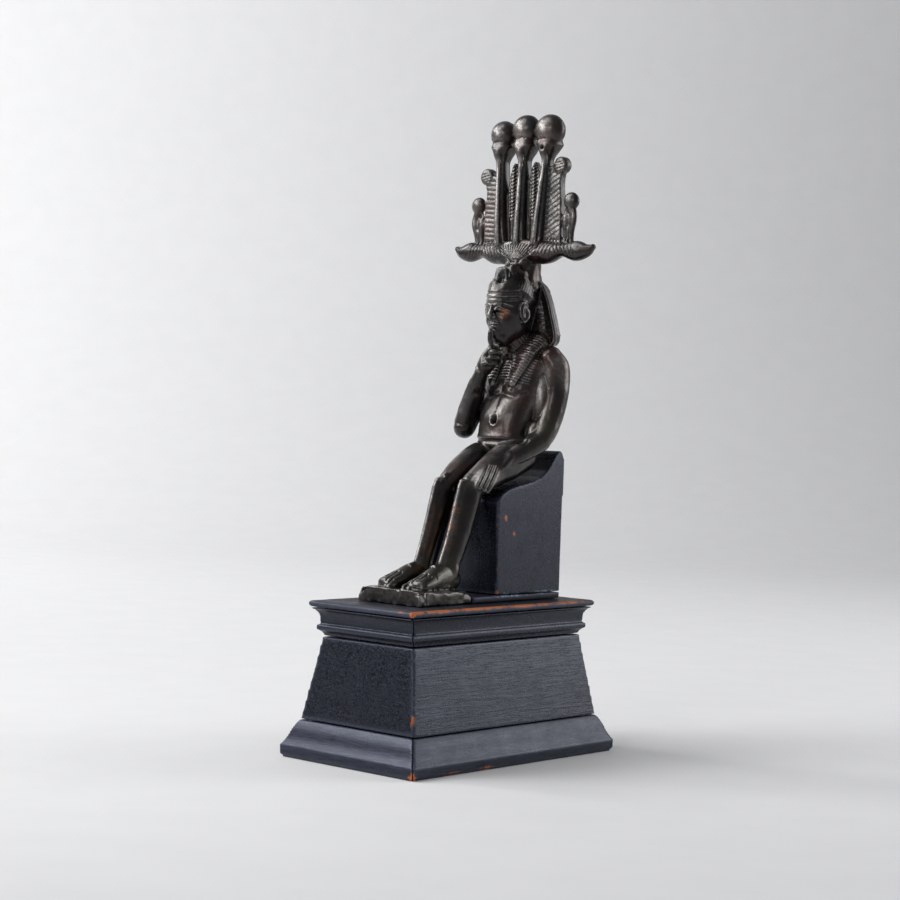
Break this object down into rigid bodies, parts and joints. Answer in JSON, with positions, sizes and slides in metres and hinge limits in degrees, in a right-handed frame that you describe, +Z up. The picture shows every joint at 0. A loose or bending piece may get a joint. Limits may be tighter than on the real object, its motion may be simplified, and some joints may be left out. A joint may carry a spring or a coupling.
{
  "type": "harpocrates statue",
  "caption": "Small dark bronze figure of a seated child god with a tall crown, on a black wooden seat and moulded plinth.",
  "frame": {"origin": "centre of the plinth's underside", "axes": "+Z up, the figure faces -Y, the figure's left is +X"},
  "size_m": [0.0692, 0.111, 0.2382],
  "materials": {
    "bronze": "dark brown-black patina, semi-gloss, pitted",
    "seat_wood": "ebonised, satin",
    "plinth_wood": "ebonised, satin, worn edges",
    "moulding_wood": "ebonised, satin, worn edges"
  },
  "bodies": {
    "root": {"bronze_statuette": "bronze", "seat_block": "seat_wood", "seat_board": "seat_wood", "top_board": "plinth_wood", "plinth_block": "plinth_wood", "cornice_front": "moulding_wood", "cornice_left": "moulding_wood", "cornice_back": "moulding_wood", "cornice_right": "moulding_wood", "base_moulding_front": "moulding_wood", "base_moulding_left": "moulding_wood", "base_moulding_back": "moulding_wood", "base_moulding_right": "moulding_wood"}
  },
  "joints": []
}
